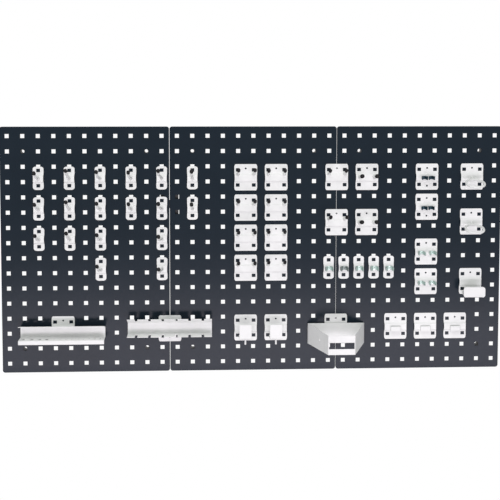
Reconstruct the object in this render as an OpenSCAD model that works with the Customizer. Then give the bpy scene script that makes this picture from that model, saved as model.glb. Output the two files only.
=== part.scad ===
// Pegboard tool wall: three perforated steel panels with lift-off tool holders.
// X runs right, Z up and the front faces -Y. The wall plane is Y = 0.
// The origin is the middle of the middle panel's screw pattern on the wall plane.

/* [Panels] */
// Columns of holes in one panel
panel_cols = 11; // [11:1:11]
// Rows of holes in one panel
panel_rows = 16; // [16:1:16]
// Distance between hole centres
pitch = 38; // [34:0.5:46]
// Side of one square hole
hole = 10; // [9.8:0.1:12]
// Slit between two panels
seam_gap = 1.2; // [1:0.1:3]
// From the outer hole row to the top and bottom edges
edge_margin = 23; // [16:1:32]
// Sheet thickness
sheet_t = 1.5; // [1:0.1:2]
// Depth of the folded rim behind the sheet
rim_depth = 6; // [5:0.5:8]
// Radius of the panel corners
corner_r = 6; // [3:0.5:10]

/* [Wall fixing] */
// Distance from the wall to the back of the sheet
wall_gap = 20; // [18:1:30]
// Screw hole in a wall spacer
screw_hole_d = 9; // [6:0.5:9.5]
// Outer diameter of a wall spacer
spacer_d = 16; // [13:0.5:20]
// Diameter of a spacer's end flanges
spacer_flange_d = 22; // [18:0.5:26]
// Thickness of a spacer's end flanges
spacer_flange_t = 2.5; // [1.5:0.5:4]
// Columns in from the panel side where the screws sit
screw_col = 2; // [2:1:3]
// Rows in from the panel top where the screws sit
screw_row = 2; // [2:1:2]

/* [Panel joiners] */
// Width of one pad of a joiner
joiner_pad_w = 20; // [14:1:20]
// Height of one pad of a joiner
joiner_pad_h = 54; // [40:1:70]
// Height of the bridge between the pads
joiner_bridge_h = 20; // [14:1:30]
// Plate thickness of a joiner
joiner_t = 2.5; // [1.5:0.5:4]
// Clearance between a joiner and the rims
joiner_clear = 0.1; // [0.05:0.05:0.3]

/* [Holder plates] */
// Gap between a holder plate and the panel
plate_play = 0.3; // [0.2:0.1:0.6]
// Thickness of a holder plate
plate_t = 2; // [1.5:0.1:3]
// Width of a narrow plate
narrow_w = 26.5; // [24:0.5:32]
// Height of a narrow plate
narrow_h = 58; // [56:1:64]
// Distance from the hole row up to the top of a narrow plate
narrow_top = 0.5; // [0:0.1:3]
// Width of a wide plate
wide_w = 57; // [54:1:64]
// Height of a wide plate
wide_h = 66; // [64:1:68]
// Distance from the hole row up to the top of a wide plate
wide_top = 5.3; // [3:0.1:7]
// How far the middle band stands forward
band_depth = 3; // [2:0.1:4]
// Height of the flat crest of the band
band_crest_h = 15; // [12:0.5:17]
// Height of the band where it meets the plate
band_base_h = 21.5; // [19:0.5:24]
// How far the plate sides draw in at the band
waist = 0.8; // [0.5:0.1:2]
// Diameter of the small round hole under the plate top
eye_d = 4.5; // [3:0.5:5]

/* [Lugs] */
// Width of a plate window
window_w = 9.4; // [8:0.1:10]
// Height of a plate window
window_h = 8.5; // [7.5:0.1:8.8]
// Width of a lug
lug_w = 7; // [5:0.1:7.4]
// Thickness of a lug
lug_t = 2; // [1.5:0.1:2.5]
// Clearance under a lug at the hole's lower edge
lug_seat = 0.2; // [0.1:0.05:0.4]
// Clearance between a lug's hook and the back of the sheet
lug_back_clear = 0.3; // [0.2:0.1:0.5]
// How far a lug's hook reaches down behind the sheet
lug_hook = 4; // [3:0.1:5]

/* [Hooks] */
// Diameter of a hook rod
rod_d = 6; // [4:0.5:7]
// Upward slope of a hook rod in degrees
rod_slope = 8.5; // [5:0.5:12]
// Turn of the rod's upturned end in degrees
end_turn = 18; // [12:1:30]
// Diameter of a hook's end cap
cap_d = 8.5; // [8:0.5:10]
// Length of a hook's end cap
cap_len = 8; // [6:0.5:10]
// Bond line between a cap and the end of its rod
cap_gap = 0.05; // [0.03:0.01:0.1]
// Distance between the rods of a double hook
rod_spacing = 40; // [36:1:42]
// Diameter of a double prong
prong_d = 8; // [7:0.5:9]
// Diameter of a prong's cap
prong_cap_d = 10.5; // [10.5:0.5:12]
// Length of a prong's cap
prong_cap_len = 10; // [9:0.5:14]
// Distance between the prongs
prong_spacing = 36.8; // [32:0.2:38]
// Reach of the prongs
prong_reach = 53; // [40:1:80]

/* [Clips] */
// Strip thickness of a spring clip
clip_t = 1.2; // [1:0.1:1.6]
// Half angle of a clip's mouth in degrees
clip_mouth = 42; // [35:1:50]
// Length of a clip's flared lip
clip_lip = 5; // [3:0.5:7]
// Diameter of a clip's rivet head
rivet_d = 6; // [4:0.5:7]

/* [Ring holder] */
// Outer diameter of the ring
ring_d = 51; // [44:1:58]
// Wire diameter of the ring
ring_wire = 6; // [5:0.5:8]
// Distance from the plate to the ring centre
ring_reach = 37; // [34:1:48]
// Downward tilt of the ring in degrees
ring_tilt = 19; // [10:1:25]

/* [J tray] */
// Width of the tray
tray_w = 54; // [44:1:58]
// Depth of the tray
tray_depth = 46; // [36:1:60]
// Height of the front lip
tray_lip_h = 26; // [18:1:32]

/* [Strap and saddle] */
// Width of the raised strap of a cable plate
strap_w = 26; // [20:1:34]
// Height of the raised strap
strap_h = 12; // [9:1:14]
// Gap behind the strap
strap_gap = 3.5; // [2.5:0.1:3.9]
// Width of the saddle
saddle_w = 30; // [24:1:36]
// Depth of the saddle
saddle_depth = 45; // [36:1:54]
// Height of the saddle's front
saddle_h = 38; // [28:1:42]
// Diameter of the saddle's pin
saddle_pin_d = 4.5; // [3:0.5:6]

/* [Screwdriver shelf] */
// Width of the shelf
shelf_w = 210; // [190:1:230]
// Depth of the shelf from the panel
shelf_depth = 42; // [38:1:50]
// Height of the shelf's back
shelf_h = 28; // [24:1:34]
// Sheet thickness of shelf, rack and box
metal_t = 1.5; // [1.2:0.1:2]
// Height of the shelf's front lip
shelf_lip_h = 10.5; // [8:0.5:14]
// Upward flare of the shelf's top in degrees
shelf_flare = 12; // [5:1:18]
// Number of screwdriver holes
shelf_holes = 13; // [10:1:13]
// Diameter of the large screwdriver holes
shelf_hole_large = 10.5; // [9:0.5:12]
// Diameter of the small screwdriver holes
shelf_hole_small = 6.5; // [5.5:0.5:8]
// Number of large screwdriver holes
shelf_large_count = 4; // [2:1:6]

/* [Wrench rack] */
// Width of the rack
rack_w = 210; // [190:1:230]
// Depth of the rack from the panel
rack_depth = 42; // [38:1:50]
// Height of the rack's back
rack_h = 30; // [26:1:36]
// Upward flare of the rack's top in degrees
rack_flare = 23; // [10:1:28]
// Number of notches
notch_count = 6; // [4:1:6]
// Distance between notches
notch_pitch = 33; // [28:1:36]
// Width of a notch
notch_w = 6.5; // [6:0.5:12]
// Depth of a notch
notch_depth = 24; // [15:1:28]

/* [Power tool box] */
// Width of the box at the plate
box_back_w = 144; // [120:1:170]
// Width of the box at the front
box_front_w = 66; // [56:1:80]
// Distance from the panel to the box front
box_depth = 117; // [100:1:140]
// Height of the box
box_h = 51; // [44:1:60]
// Height of the box front
box_front_h = 47; // [44:1:50]
// Width of the window in the box front
box_window_w = 62; // [40:1:62]
// Height of the window in the box front
box_window_h = 20; // [12:1:22]
// Diameter of the hole in the box side
box_side_hole_d = 5; // [3:0.5:8]

/* [Hidden] */
$fn = 48;
eps = 0.05;
panel_w = panel_cols * pitch - seam_gap;
panel_h = (panel_rows - 1) * pitch + 2 * edge_margin;
mid_col = (3 * panel_cols + 1) / 2;
mid_row = (panel_rows + 1) / 2;
face_y = -(wall_gap + sheet_t);
rim_back_y = -wall_gap + rim_depth;
screw_dx = ((panel_cols + 1) / 2 - screw_col) * pitch;
screw_dz = (mid_row - screw_row) * pitch;
plate_front = plate_play + plate_t;
crest_front = plate_front + band_depth;
lug_bottom = -hole / 2 + lug_seat;
window_z = lug_bottom - window_h / 2;
z_mid = window_z - pitch / 2;
band_z = z_mid - 1.4;
crest_top = band_z + band_crest_h / 2;
plate_bite = plate_play + plate_t / 2;
elbow_swell = 0.2;
double_rise = 9.5;
strap_drop = 5.4;
eye_rise = 3.5;

// Column, row, reach and length of the upturned end of each single hook.
single_hooks = [
    for (r = [3, 5, 7]) [3, r, 70, 38],
    for (r = [3, 5, 7]) [5, r, 75, 56],
    for (r = [3, 5, 7, 9]) [7, r, 98, 42],
    for (r = [3, 5]) [9, r, 100, 37],
    for (r = [3, 5, 7, 9]) [11, r, 202, 30],
    for (r = [3, 5]) [13, r, 200, 25]
];
// Column, row and width of each single spring clip.
single_clips = [for (c = [22:26]) [c, 9, 20]];
// Column between two hole columns, row, reach and upturned end of each
// double hook.
double_hooks = [
    for (r = [3, 5, 7, 9]) [16.5, r, 75, 25],
    for (r = [3, 5, 7, 9]) [18.5, r, 40, 27],
    [22.5, 3, 38, 26],
    [22.5, 6, 54, 20]
];
double_prongs = [for (r = [3, 6]) [24.5, r]];
// Column, row, clip width, half the distance between the clips, and whether
// the plate has a second eye at the bottom.
twin_clips = [
    for (r = [3, 5]) [28.5, r, 13, 8.8, true],
    for (r = [8, 10]) [28.5, r, 17, 14, false]
];
ring_holders = [for (r = [3, 6]) [31.5, r]];
strap_plates = [for (c = [26.5, 28.5, 30.5]) [c, 13]];
saddle_plates = [for (c = [16.5, 18.5]) [c, 13]];

function place(kind, h) = str(kind, "_c", floor(h[0]), "_r", h[1]);

// ---------------------------------------------------------------- helpers

// A flat outline in X and Z, given thickness from y0 towards the front.
module front_extrude(y0, t) {
    translate([0, y0, 0])
        rotate([90, 0, 0])
            linear_extrude(t)
                children();
}

// A profile in Y and Z, given width w along X and centred on x = 0.
module side_extrude(w) {
    translate([-w / 2, 0, 0])
        rotate([90, 0, 90])
            linear_extrude(w)
                children();
}

module rounded_rect(w, h, r) {
    square([w - 2 * r, h], center = true);
    square([w, h - 2 * r], center = true);
    for (sx = [-1, 1], sz = [-1, 1])
        translate([sx * (w / 2 - r), sz * (h / 2 - r)])
            circle(r);
}

// Puts a holder on the panel hole at a column and a row.
module at_hole(h) {
    translate([(h[0] - mid_col) * pitch, face_y, (mid_row - h[1]) * pitch])
        children();
}

// ----------------------------------------------------------------- panels

module panel(index) {
    color([0.17, 0.19, 0.22])
        translate([(index - 1) * panel_cols * pitch, 0, 0]) {
            front_extrude(-wall_gap, sheet_t)
                difference() {
                    rounded_rect(panel_w, panel_h, corner_r);
                    for (i = [1:panel_cols], j = [1:panel_rows])
                        translate([(i - (panel_cols + 1) / 2) * pitch, (mid_row - j) * pitch])
                            square(hole, center = true);
                }
            front_extrude(rim_back_y, rim_depth)
                difference() {
                    rounded_rect(panel_w, panel_h, corner_r);
                    rounded_rect(panel_w - 2 * sheet_t, panel_h - 2 * sheet_t, corner_r - sheet_t);
                }
        }
}

module wall_spacer() {
    rotate([90, 0, 0])
        difference() {
            union() {
                cylinder(d = spacer_d, h = wall_gap);
                cylinder(d = spacer_flange_d, h = spacer_flange_t);
                translate([0, 0, wall_gap - spacer_flange_t])
                    cylinder(d = spacer_flange_d, h = spacer_flange_t);
            }
            translate([0, 0, -1])
                cylinder(d = screw_hole_d, h = wall_gap + 2);
        }
}

module wall_spacers() {
    color([0.1, 0.1, 0.11])
        for (p = [-1:1], sx = [-1, 1], sz = [-1, 1])
            translate([p * panel_cols * pitch + sx * screw_dx, 0, sz * screw_dz])
                wall_spacer();
}

// A clip across a seam: it lies on the rear edges of two rims and hugs them.
module panel_joiner() {
    reach = seam_gap / 2 + sheet_t + joiner_clear;
    rib = seam_gap - 2 * joiner_clear;
    rib_depth = rim_depth - 1;
    front_extrude(rim_back_y + joiner_t, joiner_t) {
        square([2 * reach + 4, joiner_bridge_h], center = true);
        for (sx = [-1, 1])
            translate([sx * (reach + joiner_pad_w / 2), 0])
                square([joiner_pad_w, joiner_pad_h], center = true);
    }
    front_extrude(rim_back_y + eps, rib_depth)
        square([rib, joiner_bridge_h], center = true);
    for (sx = [-1, 1])
        front_extrude(rim_back_y + eps, rib_depth)
            translate([sx * (reach + sheet_t / 2), 0])
                square([sheet_t, joiner_pad_h], center = true);
}

module panel_joiners() {
    color([0.06, 0.06, 0.07])
        for (s = [[-1, 5.5], [-1, 13.5], [1, 3.5], [1, 13.5]])
            translate([s[0] * panel_cols * pitch / 2, 0, (mid_row - s[1]) * pitch])
                panel_joiner();
}

// ---------------------------------------------------------- holder plates

// The hook-in tongue over one window.
module lug() {
    hook_y = sheet_t + lug_back_clear;
    side_extrude(lug_w)
        polygon([
            [-plate_bite, lug_bottom],
            [-plate_bite, lug_bottom + lug_t],
            [hook_y + lug_t, lug_bottom + lug_t],
            [hook_y + lug_t, lug_bottom - lug_hook],
            [hook_y, lug_bottom - lug_hook],
            [hook_y, lug_bottom]
        ]);
}

module lugs(columns) {
    for (x = columns, z = [0, -pitch])
        translate([x, 0, z])
            lug();
}

// Side profile of a plate: flat, with a band that stands forward.
module plate_profile(top, bottom) {
    half_base = band_base_h / 2;
    half_crest = band_crest_h / 2;
    polygon([
        [-plate_play, bottom],
        [-plate_front, bottom],
        [-plate_front, band_z - half_base],
        [-crest_front, band_z - half_crest],
        [-crest_front, band_z + half_crest],
        [-plate_front, band_z + half_base],
        [-plate_front, top],
        [-plate_play, top],
        [-plate_play, band_z + half_base],
        [-plate_play - band_depth, band_z + half_crest],
        [-plate_play - band_depth, band_z - half_crest],
        [-plate_play, band_z - half_base]
    ]);
}

module waist_cuts(w) {
    chord = band_base_h + 8;
    r = (pow(chord / 2, 2) + pow(waist, 2)) / (2 * waist);
    for (sx = [-1, 1])
        translate([sx * (w / 2 - waist + r), band_z])
            circle(r, $fn = 360);
}

module plate(w, top, bottom, r, columns, eyes) {
    intersection() {
        side_extrude(w + 2)
            plate_profile(top, bottom);
        front_extrude(1, crest_front + 2)
            difference() {
                translate([0, (top + bottom) / 2])
                    rounded_rect(w, top - bottom, r);
                waist_cuts(w);
                for (x = columns, z = [0, -pitch])
                    translate([x, window_z + z])
                        square([window_w, window_h], center = true);
                for (z = eyes)
                    translate([0, window_z + z])
                        circle(d = eye_d);
            }
    }
    lugs(columns);
}

module narrow_plate() {
    plate(narrow_w, narrow_top, narrow_top - narrow_h, 9, [0], []);
}

module wide_plate(low_eye = false) {
    column = pitch / 2 + 1;
    eyes = low_eye ? [eye_rise, -pitch - eye_rise] : [eye_rise];
    plate(wide_w, wide_top, wide_top - wide_h, 8, [-column, column], eyes);
}

// ------------------------------------------------------------------ hooks

// Turns children so that their +Z runs forward and up at a slope.
module forward(slope) {
    rotate([90 - slope, 0, 0])
        children();
}

// A solid knob bonded to the end of a rod, with a domed tip.
module cap(d, len) {
    difference() {
        union() {
            cylinder(d = d, h = len - d / 2);
            translate([0, 0, len - d / 2])
                sphere(d = d);
        }
        translate([0, 0, -d])
            cylinder(d = 2 * d, h = d);
    }
}

// Moves children to the bend of the rod and turns them up.
module past_bend(straight) {
    translate([0, 0, straight])
        rotate([-end_turn, 0, 0])
            children();
}

// A rod along +Z from the plate that turns up towards +Y at its bend.
module hook_rod(straight, end_len) {
    cylinder(d = rod_d, h = straight);
    past_bend(straight) {
        sphere(d = rod_d + 2 * elbow_swell);
        cylinder(d = rod_d, h = end_len - cap_len - cap_gap);
    }
}

module hook_cap(straight, end_len) {
    past_bend(straight)
        translate([0, 0, end_len - cap_len])
            cap(cap_d, cap_len);
}

// Forward length of the upturned end, with its cap.
function end_reach(end_len) = end_len * cos(rod_slope + end_turn);

module hook_at(x, z, reach, end_len) {
    straight = (reach - plate_bite - end_reach(end_len)) / cos(rod_slope);
    translate([x, -plate_bite, z])
        forward(rod_slope) {
            hook_rod(straight, end_len);
            hook_cap(straight, end_len);
        }
}

module single_hook(h) {
    color([0.86, 0.87, 0.87])
        at_hole(h) {
            narrow_plate();
            hook_at(0, band_z, h[2], h[3]);
        }
}

module double_hook(h) {
    color([0.86, 0.87, 0.87])
        at_hole(h) {
            wide_plate();
            for (sx = [-1, 1])
                hook_at(sx * rod_spacing / 2, band_z + double_rise, h[2], h[3]);
        }
}

module prong(x, z) {
    straight = (prong_reach - plate_bite) / cos(rod_slope);
    translate([x, -plate_bite, z])
        forward(rod_slope) {
            cylinder(d = prong_d, h = straight - prong_cap_len - cap_gap);
            translate([0, 0, straight - prong_cap_len])
                cap(prong_cap_d, prong_cap_len);
        }
}

module prongs(h) {
    color([0.86, 0.87, 0.87])
        at_hole(h) {
            wide_plate();
            for (sx = [-1, 1])
                prong(sx * prong_spacing / 2, band_z + 1.1);
        }
}

// ------------------------------------------------------------------ clips

// A spring clip seen from above: a split ring with flared lips.
module clip_outline(w) {
    r = w / 2;
    mid_r = r - clip_t / 2;
    difference() {
        circle(r);
        circle(r - clip_t);
        polygon([
            [0, 0],
            [-2 * r * sin(clip_mouth), -2 * r * cos(clip_mouth)],
            [2 * r * sin(clip_mouth), -2 * r * cos(clip_mouth)]
        ]);
    }
    for (sx = [-1, 1])
        translate([sx * mid_r * sin(clip_mouth), -mid_r * cos(clip_mouth)]) {
            circle(d = clip_t);
            rotate(sx * 28)
                translate([-clip_t / 2, -clip_lip])
                    square([clip_t, clip_lip]);
        }
}

module spring_clip(w, strip) {
    translate([0, -crest_front - w / 2 + 0.1, -strip / 2])
        linear_extrude(strip)
            clip_outline(w);
    front_extrude(-crest_front - clip_t + 0.15, 1.4)
        circle(d = min(rivet_d, w * 0.45));
}

module single_clip(h) {
    color([0.72, 0.75, 0.73])
        at_hole(h) {
            narrow_plate();
            translate([0, 0, band_z])
                spring_clip(h[2], 9.5);
        }
}

module twin_clip(h) {
    color([0.8, 0.82, 0.82])
        at_hole(h) {
            wide_plate(h[4]);
            for (sx = [-1, 1])
                translate([sx * h[3], 0, band_z])
                    spring_clip(h[2], 8);
        }
}

// ---------------------------------------------------- ring, tray and straps

module ring_holder(h) {
    ring_r = (ring_d - ring_wire) / 2;
    color([0.86, 0.87, 0.87])
        at_hole(h) {
            wide_plate();
            translate([0, -plate_bite, band_z])
                forward(-ring_tilt) {
                    cylinder(d = ring_wire, h = ring_reach - ring_r);
                    translate([0, 0, ring_reach])
                        rotate([90, 0, 0])
                            rotate_extrude()
                                translate([ring_r, 0])
                                    circle(d = ring_wire);
                }
        }
}

module j_tray() {
    tray_bottom = wide_top - wide_h;
    lip_r = 6;
    color([0.86, 0.87, 0.87])
        at_hole([31.5, 10]) {
            wide_plate();
            translate([0, 0, tray_bottom])
                side_extrude(tray_w - 2 * lip_r)
                    polygon([
                        [-plate_play, 0],
                        [-tray_depth, 0],
                        [-tray_depth, plate_t],
                        [-plate_play, plate_t]
                    ]);
            front_extrude(-tray_depth + plate_t, plate_t)
                translate([0, tray_bottom + tray_lip_h / 2])
                    rounded_rect(tray_w, tray_lip_h, lip_r);
        }
}

module strap_plate(h) {
    color([0.86, 0.87, 0.87])
        at_hole(h) {
            wide_plate();
            translate([0, 0, crest_top - strap_drop - strap_h])
                linear_extrude(strap_h)
                    difference() {
                        translate([0, -crest_front - (strap_gap + metal_t) / 2 + eps])
                            square([strap_w, strap_gap + metal_t + 2 * eps], center = true);
                        translate([0, -crest_front - strap_gap / 2])
                            square([strap_w - 2 * metal_t, strap_gap + 2 * eps], center = true);
                    }
        }
}

module saddle_plate(h) {
    floor_z = band_z - band_crest_h / 2 - 12;
    pin_len = 13;
    color([0.86, 0.87, 0.87])
        at_hole(h) {
            wide_plate();
            translate([-2, 0, 0])
                side_extrude(saddle_w)
                    polygon([
                        [-plate_bite, floor_z],
                        [-saddle_depth, floor_z],
                        [-saddle_depth, floor_z + saddle_h],
                        [-saddle_depth + plate_t, floor_z + saddle_h],
                        [-saddle_depth + plate_t, floor_z + plate_t],
                        [-plate_bite, floor_z + plate_t]
                    ]);
            translate([-2, -saddle_depth + 9, floor_z - pin_len])
                cylinder(d = saddle_pin_d, h = pin_len + plate_t / 2);
        }
}

// ------------------------------------------------------- shelf, rack, box

// Centre of each screwdriver hole: the gaps shrink from left to right.
function hole_gap(i) = shelf_w * (0.0643 + 0.0371 * pow(0.72, i));
function hole_x(i) = i == 0 ? -shelf_w * 0.452 : hole_x(i - 1) + hole_gap(i - 1);

// A back wall with a level floor and a flared top, as a profile in Y and Z.
module channel_profile(depth, top, h, flare, lip) {
    back = crest_front - eps;
    front_back = back + metal_t;
    rise = (depth - back) * tan(flare);
    polygon([
        [-back, top],
        [-back, top - h],
        [-depth, top - h],
        [-depth, top - h + metal_t],
        [-front_back, top - h + metal_t],
        [-front_back, top - metal_t],
        [-depth, top - metal_t + rise],
        [-depth, top + rise]
    ]);
    if (lip > 0)
        translate([-depth, top - h - lip + metal_t])
            square([metal_t, lip]);
}

module screwdriver_shelf() {
    top = -19;
    hole_y = -29;
    color([0.86, 0.87, 0.87])
        at_hole([4.5, 13]) {
            wide_plate();
            difference() {
                side_extrude(shelf_w)
                    channel_profile(shelf_depth, top, shelf_h, shelf_flare, shelf_lip_h);
                for (i = [0:shelf_holes - 1])
                    translate([hole_x(i), hole_y, top - shelf_h - 5])
                        cylinder(
                            d = i < shelf_large_count ? shelf_hole_large : shelf_hole_small,
                            h = shelf_h + 25
                        );
            }
        }
}

module wrench_rack() {
    top = -10.6;
    color([0.86, 0.87, 0.87])
        at_hole([11.5, 13]) {
            wide_plate(true);
            difference() {
                side_extrude(rack_w)
                    channel_profile(rack_depth, top, rack_h, rack_flare, 0);
                for (i = [0:notch_count - 1])
                    translate([(i - (notch_count - 1) / 2) * notch_pitch, 0, top - rack_h - 5]) {
                        translate([-notch_w / 2, -rack_depth - 1, 0])
                            cube([notch_w, notch_depth - notch_w / 2 + 1, rack_h + 40]);
                        translate([0, -rack_depth + notch_depth - notch_w / 2, 0])
                            cylinder(d = notch_w, h = rack_h + 40);
                    }
            }
        }
}

module box_outline(inset) {
    back = crest_front - eps;
    polygon([
        [-box_back_w / 2 + inset, -back - inset],
        [-box_front_w / 2 + inset * 0.75, -box_depth + inset],
        [box_front_w / 2 - inset * 0.75, -box_depth + inset],
        [box_back_w / 2 - inset, -back - inset]
    ]);
}

module tool_box() {
    top = -17.6;
    bottom = top - box_h;
    front_top = bottom + box_front_h;
    window_bottom = bottom + 14;
    color([0.86, 0.87, 0.87])
        at_hole([22.5, 13]) {
            wide_plate();
            difference() {
                translate([0, 0, bottom])
                    linear_extrude(box_h)
                        difference() {
                            box_outline(0);
                            box_outline(metal_t);
                        }
                side_extrude(box_back_w + 2)
                    polygon([
                        [-crest_front - metal_t, top + 1],
                        [-crest_front - metal_t, top],
                        [-box_depth - 1, front_top],
                        [-box_depth - 1, top + 1]
                    ]);
                translate([0, -box_depth, window_bottom + box_window_h / 2])
                    cube([box_window_w, 4 * metal_t, box_window_h], center = true);
                translate([-box_back_w / 2, -box_depth * 0.6, bottom + box_h * 0.5])
                    rotate([0, 90, 0])
                        cylinder(d = box_side_hole_d, h = box_back_w / 2);
            }
        }
}

// ------------------------------------------------------------------ nodes

panel(0);  // panel_left
panel(1);  // panel_middle
panel(2);  // panel_right
wall_spacers();
panel_joiners();
for (h = single_hooks)
    single_hook(h);
for (h = single_clips)
    single_clip(h);
for (h = double_hooks)
    double_hook(h);
for (h = double_prongs)
    prongs(h);
for (h = twin_clips)
    twin_clip(h);
for (h = ring_holders)
    ring_holder(h);
for (h = strap_plates)
    strap_plate(h);
for (h = saddle_plates)
    saddle_plate(h);
j_tray();
screwdriver_shelf();
wrench_rack();
tool_box();
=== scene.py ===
# %% [markdown]
# # A pegboard tool wall
# Three perforated steel panels hang side by side, and fifty light-coloured holders
# hook into their square holes. The frame gives each holder's place, and this lesson
# models one of each kind, copies it to its places and gives it its finish.

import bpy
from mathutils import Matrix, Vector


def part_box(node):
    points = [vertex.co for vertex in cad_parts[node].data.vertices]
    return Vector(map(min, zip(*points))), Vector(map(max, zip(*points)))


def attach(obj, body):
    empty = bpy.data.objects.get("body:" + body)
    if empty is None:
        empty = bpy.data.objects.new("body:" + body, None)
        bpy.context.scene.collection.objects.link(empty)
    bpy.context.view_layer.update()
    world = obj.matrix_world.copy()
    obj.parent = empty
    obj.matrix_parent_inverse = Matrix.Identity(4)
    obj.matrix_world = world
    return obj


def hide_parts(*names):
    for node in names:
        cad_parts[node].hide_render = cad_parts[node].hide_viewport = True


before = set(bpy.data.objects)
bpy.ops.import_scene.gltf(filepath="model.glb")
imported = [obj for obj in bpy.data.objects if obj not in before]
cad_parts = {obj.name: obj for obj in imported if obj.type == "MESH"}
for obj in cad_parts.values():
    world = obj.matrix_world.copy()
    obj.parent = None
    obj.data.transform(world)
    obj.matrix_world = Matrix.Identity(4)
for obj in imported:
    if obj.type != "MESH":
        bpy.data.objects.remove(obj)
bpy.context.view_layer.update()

# %% Tools used throughout
from math import cos, pi, radians, sin, tan

import bmesh
import bpy
from mathutils import Matrix, Vector

MM = 0.001
WELD = 0.01 * MM
scene = bpy.context.scene
print("one millimetre is", MM)

# %% [markdown]
# The camera stands in front of the wall, well above its middle. The lens is long, so
# the grid of holes stays nearly square, and a small downward shift does the rest.

# %% Camera
lens_data = bpy.data.cameras.new("camera")
lens_data.sensor_width = 36
lens_data.lens = 72.55
lens_data.shift_y = -0.2045
lens_data.clip_end = 50
camera = bpy.data.objects.new("camera", lens_data)
scene.collection.objects.link(camera)
aim = Matrix.Rotation(radians(-2.669), 4, "Z") @ Matrix.Rotation(radians(86), 4, "X")
aim = aim @ Matrix.Rotation(radians(0.07), 4, "Z")
camera.matrix_world = Matrix.Translation((-0.125, -2.5215, 0.43)) @ aim
scene.camera = camera
print("camera at", camera.location[:])

# %% [markdown]
# The light is a plain soft studio: a pale world all round, a large lamp overhead and
# a low wide one that puts a soft sheen on the lower half of the coat.

# %% World
scene.view_settings.view_transform = "Standard"
world = bpy.data.worlds.new("studio")
scene.world = world
world.use_nodes = True
nodes, links = world.node_tree.nodes, world.node_tree.links
nodes.clear()
path = nodes.new("ShaderNodeLightPath")
seen = nodes.new("ShaderNodeMath")
seen.operation = "MAXIMUM"
seen_too = nodes.new("ShaderNodeMath")
seen_too.operation = "MAXIMUM"
ambient = nodes.new("ShaderNodeBackground")
ambient.inputs["Color"].default_value = (0.99, 0.99, 1, 1)
ambient.inputs["Strength"].default_value = 0.5
white = nodes.new("ShaderNodeBackground")
white.inputs["Color"].default_value = (1, 1, 1, 1)
white.inputs["Strength"].default_value = 1
either = nodes.new("ShaderNodeMixShader")
world_out = nodes.new("ShaderNodeOutputWorld")
links.new(path.outputs["Is Camera Ray"], seen.inputs[0])
links.new(path.outputs["Is Glossy Ray"], seen.inputs[1])
links.new(seen.outputs[0], seen_too.inputs[0])
links.new(path.outputs["Is Transmission Ray"], seen_too.inputs[1])
links.new(seen_too.outputs[0], either.inputs["Fac"])
links.new(ambient.outputs[0], either.inputs[1])
links.new(white.outputs[0], either.inputs[2])
links.new(either.outputs[0], world_out.inputs["Surface"])
print("world nodes", len(nodes))


# %% Lamps
def soft_lamp(name, place, target, width, height, power, tint=(1, 1, 1)):
    """A rectangular area lamp at a place, turned to face a target."""
    data = bpy.data.lights.new(name, "AREA")
    data.shape = "RECTANGLE"
    data.size, data.size_y, data.energy, data.color = width, height, power, tint
    lamp = bpy.data.objects.new(name, data)
    lamp.visible_camera = False
    lamp.location = place
    gaze = Vector(target) - Vector(place)
    lamp.rotation_euler = gaze.to_track_quat("-Z", "Y").to_euler()
    scene.collection.objects.link(lamp)
    return lamp


soft_lamp("key_lamp", (-0.2, -1.5, 2.3), (0, -0.05, 0), 3, 1.2, 36)
soft_lamp(
    "low_lamp", (0.1, -2.6, -0.99), (0.1, 0, -0.87), 3.2, 0.55, 41, tint=(0.99, 0.9, 1)
)


# %% [markdown]
# Every finish is a few layers of noise. A broad one shifts the colour a little, a
# fine one is the orange peel of powder coat or the grain of steel, and a third
# breaks up the shine.

# %% A helper for finishes
def finish(
    name, dark, light, shine, metallic=0.0, grain=900, depth=0.02, broad=14, gloss=0.5
):
    """A material whose colour runs between two tones and whose shine has its own noise."""
    made = bpy.data.materials.new(name)
    made.use_nodes = True
    nodes, links = made.node_tree.nodes, made.node_tree.links
    shader = nodes["Principled BSDF"]
    shader.inputs["Metallic"].default_value = metallic
    shader.inputs["Specular IOR Level"].default_value = gloss
    place = nodes.new("ShaderNodeTexCoord")
    cloud = nodes.new("ShaderNodeTexNoise")
    cloud.inputs["Scale"].default_value = broad
    cloud.inputs["Detail"].default_value = 6
    cloud.inputs["Roughness"].default_value = 0.65
    tones = nodes.new("ShaderNodeValToRGB")
    tones.color_ramp.elements[0].position = 0.3
    tones.color_ramp.elements[0].color = (*dark, 1)
    tones.color_ramp.elements[1].position = 0.7
    tones.color_ramp.elements[1].color = (*light, 1)
    peel = nodes.new("ShaderNodeTexNoise")
    peel.inputs["Scale"].default_value = grain
    peel.inputs["Detail"].default_value = 2
    bump = nodes.new("ShaderNodeBump")
    bump.inputs["Strength"].default_value = 0.5
    bump.inputs["Distance"].default_value = depth * MM
    rub = nodes.new("ShaderNodeTexNoise")
    rub.inputs["Scale"].default_value = broad * 6
    rub.inputs["Detail"].default_value = 4
    sheen = nodes.new("ShaderNodeMapRange")
    sheen.inputs["To Min"].default_value = shine[0]
    sheen.inputs["To Max"].default_value = shine[1]
    for noise in (cloud, peel, rub):
        links.new(place.outputs["Object"], noise.inputs["Vector"])
    links.new(cloud.outputs["Fac"], tones.inputs["Fac"])
    links.new(tones.outputs["Color"], shader.inputs["Base Color"])
    links.new(peel.outputs["Fac"], bump.inputs["Height"])
    links.new(bump.outputs["Normal"], shader.inputs["Normal"])
    links.new(rub.outputs["Fac"], sheen.inputs["Value"])
    links.new(sheen.outputs["Result"], shader.inputs["Roughness"])
    return made


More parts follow.
